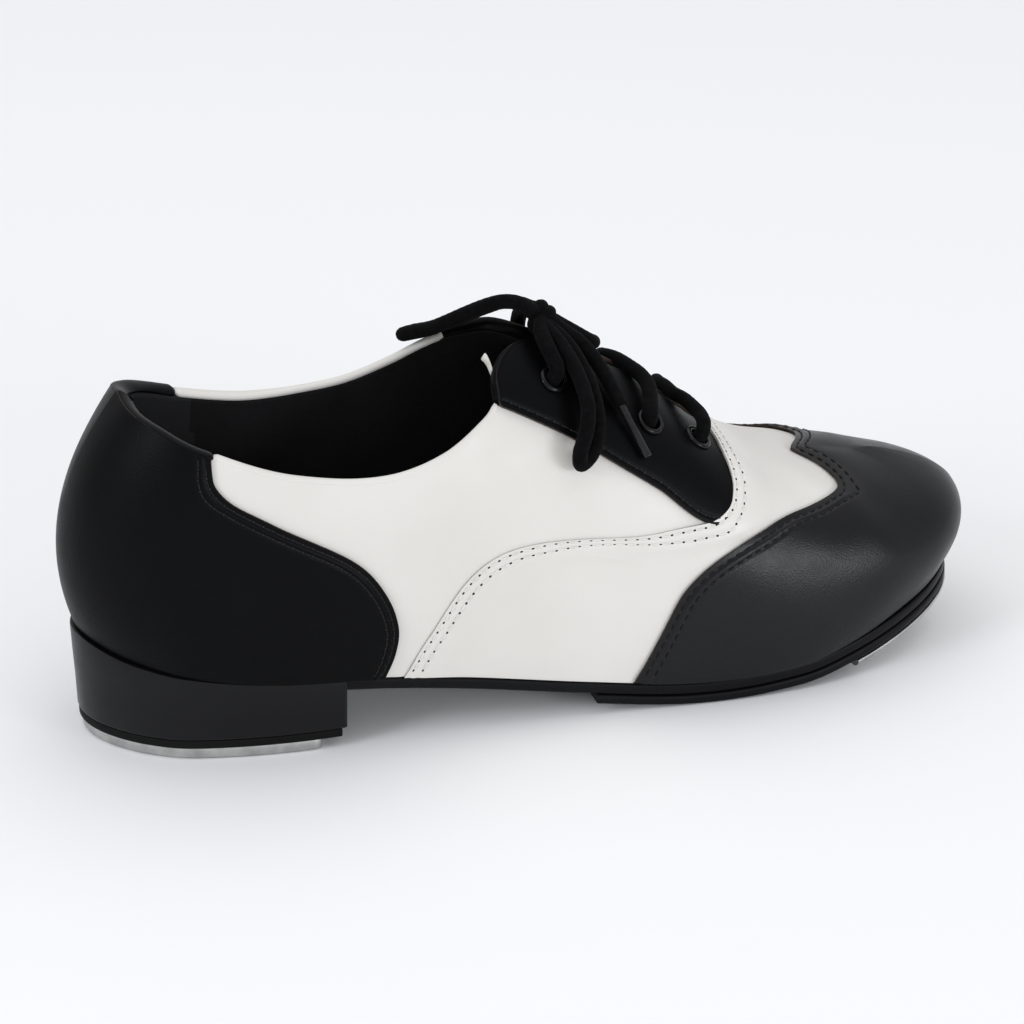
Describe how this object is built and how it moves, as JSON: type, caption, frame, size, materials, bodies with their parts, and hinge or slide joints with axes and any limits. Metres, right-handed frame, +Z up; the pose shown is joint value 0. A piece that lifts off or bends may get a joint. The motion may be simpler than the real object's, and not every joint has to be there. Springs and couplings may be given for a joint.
{
  "type": "tap shoe",
  "caption": "Lace-up wing-tip oxford tap shoe in black and white leather, with a low stacked heel, a metal heel tap and a metal toe tap.",
  "frame": {"origin": "centre of the shoe's outline on the floor, under the bounding box without the laces", "axes": "+X towards the toe, +Y towards the inner (medial) side, +Z up"},
  "size_m": [0.2555, 0.0841, 0.111],
  "materials": {
    "black_leather": "smooth satin black leather, fine grain",
    "white_leather": "smooth off-white leather",
    "sole_leather": "black painted sole leather",
    "sole_rubber": "matt black rubber",
    "heel_stack": "black satin finished leather board",
    "tap_metal": "matt cast aluminium with a brighter rim",
    "steel": "plain steel",
    "board": "brown fibre board",
    "filler": "cork and latex filler",
    "stiffener": "resin-stiffened felt",
    "lining_fabric": "black woven lining",
    "eyelet_metal": "black lacquered brass eyelet",
    "lace_cotton": "braided black cotton",
    "aglet_film": "clear glossy film over black cotton"
  },
  "bodies": {
    "rearpart": {"outsole": "sole_leather", "heel_stack": "heel_stack", "top_lift": "sole_rubber", "heel_tap": "tap_metal", "heel_tap_screws": "steel", "heel_nails": "steel", "insole_board": "board", "shank": "steel", "bottom_filler": "filler", "sock_lining": "lining_fabric", "vamp": "white_leather", "vamp_lining": "lining_fabric", "quarter_lateral": "white_leather", "quarter_medial": "white_leather", "heel_foxing": "black_leather", "heel_counter": "stiffener", "quarter_lining": "lining_fabric", "eyestay_lateral": "black_leather", "eyestay_medial": "black_leather", "eyelets_lateral": "eyelet_metal", "eyelets_medial": "eyelet_metal", "lace_lower": "lace_cotton", "lace_upper": "lace_cotton", "lace_knot": "lace_cotton", "lace_bow": "lace_cotton", "lace_ends": "lace_cotton", "aglets": "aglet_film"},
    "forepart": {"toe_cap": "black_leather", "toe_puff": "stiffener", "half_sole": "sole_rubber", "toe_tap": "tap_metal", "toe_tap_screws": "steel"},
    "tongue_body": {"tongue": "white_leather"}
  },
  "joints": [
    {"name": "toe_flex", "type": "hinge", "parent": "rearpart", "child": "forepart", "pos_m": [0.041, -0.0015, 0.008], "axis": [0, -1, 0], "range_deg": [0, 20], "stiffness_Nm_per_rad": 2, "deforming": ["outsole", "half_sole", "insole_board", "sock_lining", "bottom_filler", "vamp", "vamp_lining", "toe_cap"]},
    {"name": "tongue_hinge", "type": "hinge", "parent": "rearpart", "child": "tongue_body", "pos_m": [0.059, -0.0015, 0.054], "axis": [0, -1, 0], "range_deg": [0, 12], "stiffness_Nm_per_rad": 0.05}
  ]
}
